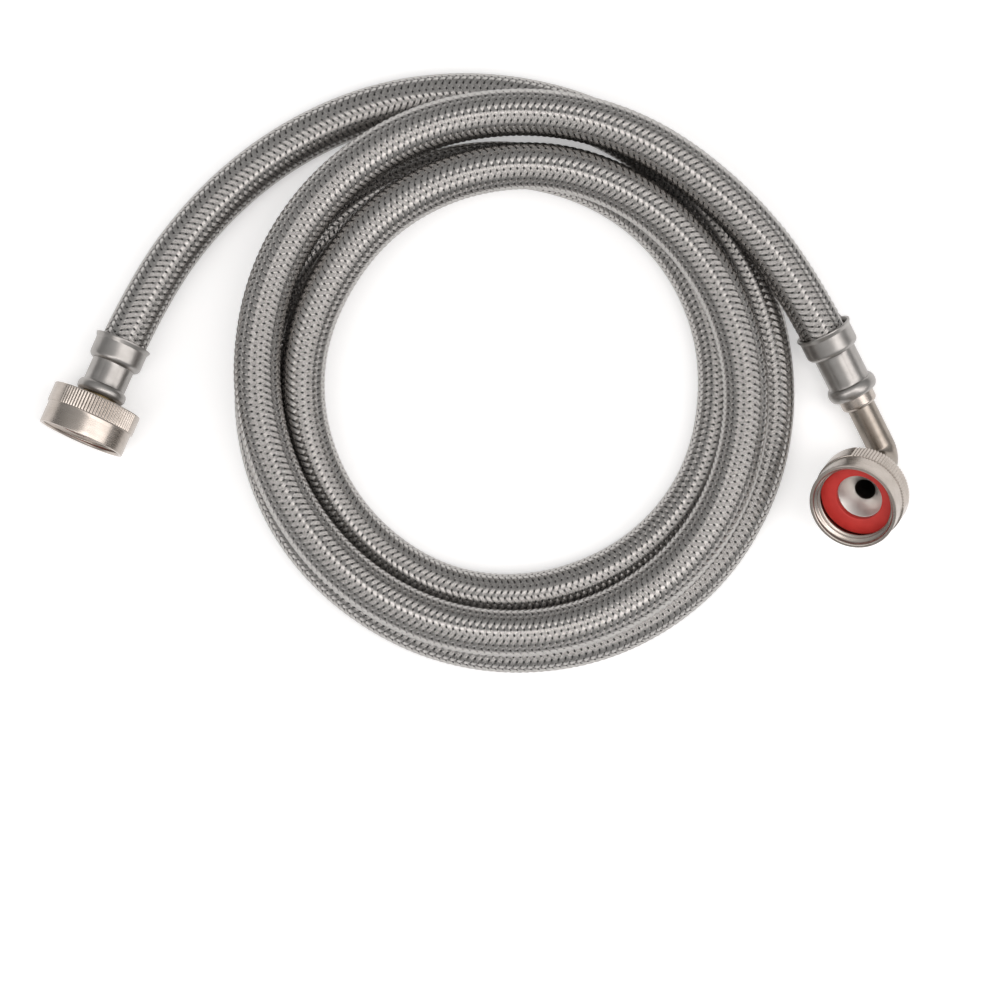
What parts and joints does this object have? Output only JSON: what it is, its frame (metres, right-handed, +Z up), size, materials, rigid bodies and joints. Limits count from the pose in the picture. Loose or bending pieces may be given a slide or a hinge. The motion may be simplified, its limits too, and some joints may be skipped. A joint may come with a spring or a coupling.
{
  "type": "braided supply hose",
  "caption": "Loosely coiled water supply hose in woven stainless wire, with a knurled swivel nut on a straight end and on a right-angle elbow end.",
  "frame": {"origin": "centre of the box round the two end fittings, on the surface that the hose lies on", "axes": "+Z up from that surface, +X from the straight end's side to the elbow end's side, +Y towards the part of the coil beyond the fittings"},
  "size_m": [0.2898, 0.203, 0.0451],
  "materials": {
    "stainless_braid": "woven bright wire",
    "stainless_sheet": "bright rolled sheet",
    "satin_nickel": "satin nickel plate, brushed round",
    "brass": "turned",
    "red_rubber": "matt",
    "black_rubber": "matt",
    "yarn": "woven polyester"
  },
  "bodies": {
    "hose_line": {"wire_braid": "stainless_braid", "outer_jacket": "black_rubber", "yarn_layer": "yarn", "liner_tube": "black_rubber", "straight_stem": "brass", "straight_ferrule": "stainless_sheet", "elbow_insert": "satin_nickel", "elbow_ferrule": "stainless_sheet", "elbow_tube": "satin_nickel", "elbow_seat": "satin_nickel"},
    "straight_seal": {"straight_washer": "red_rubber"},
    "straight_nut": {"straight_nut": "satin_nickel"},
    "elbow_seal": {"elbow_washer": "red_rubber"},
    "elbow_nut": {"elbow_nut": "satin_nickel"}
  },
  "joints": [
    {"name": "straight_spin", "type": "hinge", "parent": "hose_line", "child": "straight_seal", "pos_m": [-0.1273, 0.00666, 0.01572], "axis": [-0.391, -0.9123, 0.1219], "continuous": true},
    {"name": "straight_slack", "type": "slide", "parent": "straight_seal", "child": "straight_nut", "axis": [0.391, 0.9123, -0.1219], "range_m": [0, 0.0012]},
    {"name": "elbow_spin", "type": "hinge", "parent": "hose_line", "child": "elbow_seal", "pos_m": [0.12939, -0.02122, 0.02829], "axis": [-0.3762, -0.41, 0.8309], "continuous": true},
    {"name": "elbow_slack", "type": "slide", "parent": "elbow_seal", "child": "elbow_nut", "axis": [0.3762, 0.41, -0.8309], "range_m": [0, 0.0012]}
  ]
}
